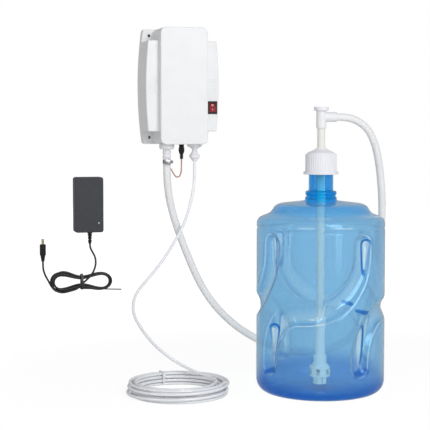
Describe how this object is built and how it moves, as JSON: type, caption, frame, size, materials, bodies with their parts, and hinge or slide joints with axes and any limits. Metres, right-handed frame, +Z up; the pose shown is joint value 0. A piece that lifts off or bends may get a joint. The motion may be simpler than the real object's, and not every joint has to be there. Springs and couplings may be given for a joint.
{
  "type": "bottled water pump system",
  "caption": "Wall pump box with a rocker switch, white suction hose to a dip wand in a large blue bottle, coiled thin delivery tube, and a plug-in adapter on a tied lead.",
  "frame": {"origin": "centre of the bottle's foot, on the floor", "axes": "+Z up, +Y towards the wall that the pump box hangs on, +X to the right as seen from the front"},
  "size_m": [0.7466, 0.3202, 0.7646],
  "materials": {
    "white_shell": "satin white",
    "steel": "brushed",
    "black_plastic": "fine grain black",
    "red_rocker": "polished red",
    "white_fitting": "satin white",
    "motor_steel": "zinc plated",
    "magnet": "dark ferrite",
    "cast_alloy": "as cast",
    "pump_plastic": "glass-filled black",
    "diaphragm_rubber": "matt",
    "board": "green board",
    "blue_bottle": "clear blue",
    "white_cap": "satin white",
    "cream_tube": "cream",
    "float_foam": "closed foam",
    "adapter_black": "spark-eroded charcoal",
    "brass_plated": "nickel on brass",
    "lamp": "clear green",
    "white_hose": "soft satin",
    "clear_tube": "milky",
    "signal_lead": "satin",
    "clear_strap": "clear",
    "black_cord": "matt"
  },
  "bodies": {
    "pump_system": {"rear_base": "white_shell", "front_cover": "white_shell", "left_pod": "white_shell", "right_pod": "white_shell", "cover_screws": "steel", "switch_housing": "black_plastic", "power_socket": "black_plastic", "float_socket": "black_plastic", "inlet_fitting": "white_fitting", "outlet_fitting": "white_fitting", "outlet_nut": "white_fitting", "clamp_band": "steel", "clamp_screw": "steel", "float_plug": "black_plastic", "motor_can": "motor_steel", "motor_magnets": "magnet", "motor_end_bell": "motor_steel", "motor_bearings": "steel", "drive_housing": "cast_alloy", "wobble_plate": "pump_plastic", "diaphragm": "diaphragm_rubber", "valve_plate": "pump_plastic", "pump_head": "pump_plastic", "inlet_pipe": "pump_plastic", "outlet_pipe": "pump_plastic", "pressure_switch": "pump_plastic", "foot_plate": "pump_plastic", "rubber_mounts": "diaphragm_rubber", "circuit_board": "board", "bottle": "blue_bottle", "wand_tee": "cream_tube", "tee_cap": "white_cap", "wand_tube": "cream_tube", "wand_collar": "white_cap", "probe_tube": "cream_tube", "probe_sleeve": "white_cap", "float_guard": "white_cap", "float_stem": "cream_tube", "foot_strainer": "white_cap", "adapter_front": "adapter_black", "adapter_back": "adapter_black", "adapter_blades": "brass_plated", "adapter_lamp": "lamp", "adapter_relief": "black_plastic", "suction_hose": "white_hose", "delivery_tube": "clear_tube", "delivery_coil": "clear_tube", "float_lead": "signal_lead", "coil_tie": "clear_strap", "dc_cord": "black_cord", "dc_hank": "black_cord", "hank_tie": "black_cord", "dc_plug_lead": "black_cord", "dc_plug": "black_plastic", "dc_plug_barrel": "brass_plated"},
    "rocker": {"switch_rocker": "red_rocker"},
    "rotor": {"motor_rotor": "motor_steel", "eccentric": "motor_steel"},
    "cap": {"bottle_cap": "white_cap"},
    "float_body": {"float": "float_foam"}
  },
  "joints": [
    {"name": "switch_tilt", "type": "hinge", "parent": "pump_system", "child": "rocker", "pos_m": [-0.2142, 0.082, 0.5986], "axis": [1, 0, 0], "range_deg": [0, 24]},
    {"name": "motor_spin", "type": "hinge", "parent": "pump_system", "child": "rotor", "pos_m": [-0.2785, 0.107, 0.7], "axis": [0, 0, 1], "continuous": true},
    {"name": "cap_slide", "type": "slide", "parent": "pump_system", "child": "cap", "axis": [0, 0, 1], "range_m": [0, 0.038]},
    {"name": "float_slide", "type": "slide", "parent": "pump_system", "child": "float_body", "axis": [0, 0, 1], "range_m": [0, 0.0075]}
  ]
}
